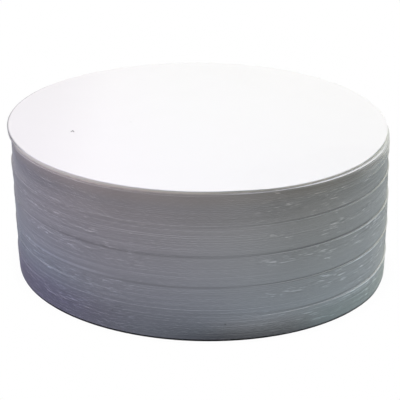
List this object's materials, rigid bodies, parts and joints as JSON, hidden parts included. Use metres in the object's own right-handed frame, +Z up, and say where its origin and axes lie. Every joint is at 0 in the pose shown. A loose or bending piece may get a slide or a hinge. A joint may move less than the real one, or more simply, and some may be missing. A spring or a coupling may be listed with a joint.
{
  "type": "stack of filter paper discs",
  "caption": "Neat low pile of thin round white paper discs, cut in lots that sit slightly out of line, with the top disc curled up at one edge.",
  "frame": {"origin": "centre of the bottom disc's lower face, on the surface that the pile stands on", "axes": "+Z up through the pile, -Y towards the viewer, +X to the right; the head of the pile leans to -X"},
  "size_m": [0.1122, 0.1103, 0.0442],
  "materials": {
    "paper_face": "unsized white filter paper, matt, faint fibre grain",
    "paper_edge": "die-cut edges of stacked white filter paper, matt, a little greyer than the faces"
  },
  "bodies": {
    "root": {"bottom_lot": "paper_edge", "lower_lot": "paper_edge", "middle_lot": "paper_edge", "upper_lot": "paper_edge", "head_lot": "paper_edge", "sixth_disc": "paper_face", "fifth_disc": "paper_face", "fourth_disc": "paper_face", "third_disc": "paper_face", "second_disc": "paper_face", "top_disc": "paper_face"}
  },
  "joints": []
}
